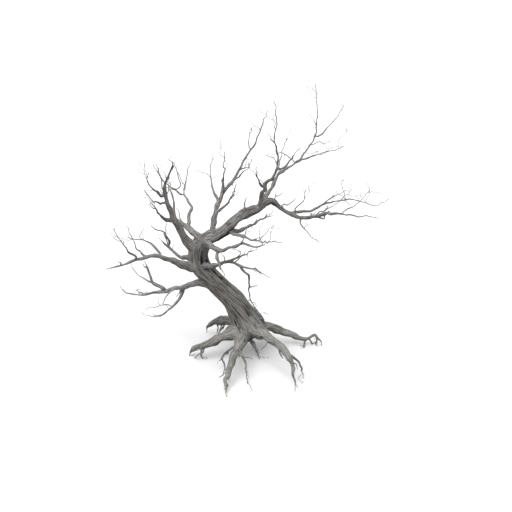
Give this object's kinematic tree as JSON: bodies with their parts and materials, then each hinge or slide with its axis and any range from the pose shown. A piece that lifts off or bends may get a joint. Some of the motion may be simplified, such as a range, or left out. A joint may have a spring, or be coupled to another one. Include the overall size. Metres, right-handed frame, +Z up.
{
  "type": "dead tree",
  "caption": "Bare, weathered dead tree with a leaning, twisted trunk, crooked tapering boughs swept to one side, and bared roots that arch down to level ground.",
  "frame": {"origin": "middle of the flat cut under the trunk, at ground level", "axes": "+Z up; the trunk leans towards -X, and the crown's far side reaches towards +X; +Y away from the viewer of the front"},
  "size_m": [5.6268, 3.1699, 5.9025],
  "materials": {
    "trunk_bark": "rough, deeply furrowed grey-brown dead wood",
    "bough_wood": "matt, weathered grey, finely ridged along the limb",
    "root_wood": "matt, pale weathered grey, ridged and knobbly",
    "twig_wood": "matt, pale grey, thin dry twigs"
  },
  "bodies": {
    "root": {"crook_bough": "bough_wood", "crook_bough_tip": "bough_wood", "east_bough": "bough_wood", "east_bough_fork": "bough_wood", "east_bough_vine": "bough_wood", "fan_cross": "bough_wood", "fan_droop": "bough_wood", "fan_high": "bough_wood", "fan_horn": "bough_wood", "fan_outer": "bough_wood", "fan_up": "bough_wood", "front_bough": "bough_wood", "front_bough_drop": "bough_wood", "leader_arch": "bough_wood", "leader_low": "bough_wood", "leader_tip": "bough_wood", "low_bough": "bough_wood", "low_bough_branch": "bough_wood", "low_bough_drop": "bough_wood", "low_bough_riser": "bough_wood", "rear_bough": "bough_wood", "rear_bough_mast": "bough_wood", "rear_bough_reach": "bough_wood", "rear_bough_twin": "bough_wood", "root_back": "root_wood", "root_back_west": "root_wood", "root_east": "root_wood", "root_front": "root_wood", "root_front_east": "root_wood", "root_front_east_fork": "root_wood", "root_front_fork": "root_wood", "root_front_loop": "root_wood", "root_sinker": "root_wood", "root_west": "root_wood", "side_bough": "bough_wood", "side_bough_curl": "bough_wood", "side_bough_spray": "bough_wood", "side_bough_wand": "bough_wood", "trunk": "trunk_bark", "under_back": "bough_wood", "under_front": "bough_wood", "upright_east": "bough_wood", "upright_east_arm": "bough_wood", "upright_east_inner": "bough_wood", "upright_east_wand": "bough_wood", "upright_middle": "bough_wood", "upright_middle_fork": "bough_wood", "upright_middle_side": "bough_wood", "upright_west": "bough_wood", "upright_west_back": "bough_wood", "upright_west_front": "bough_wood", "upright_west_rod": "bough_wood", "upright_west_side": "bough_wood", "upright_west_whip": "bough_wood", "west_bough": "bough_wood", "west_bough_claw": "bough_wood", "west_bough_hook": "bough_wood", "west_bough_prong": "bough_wood"}
  },
  "joints": []
}
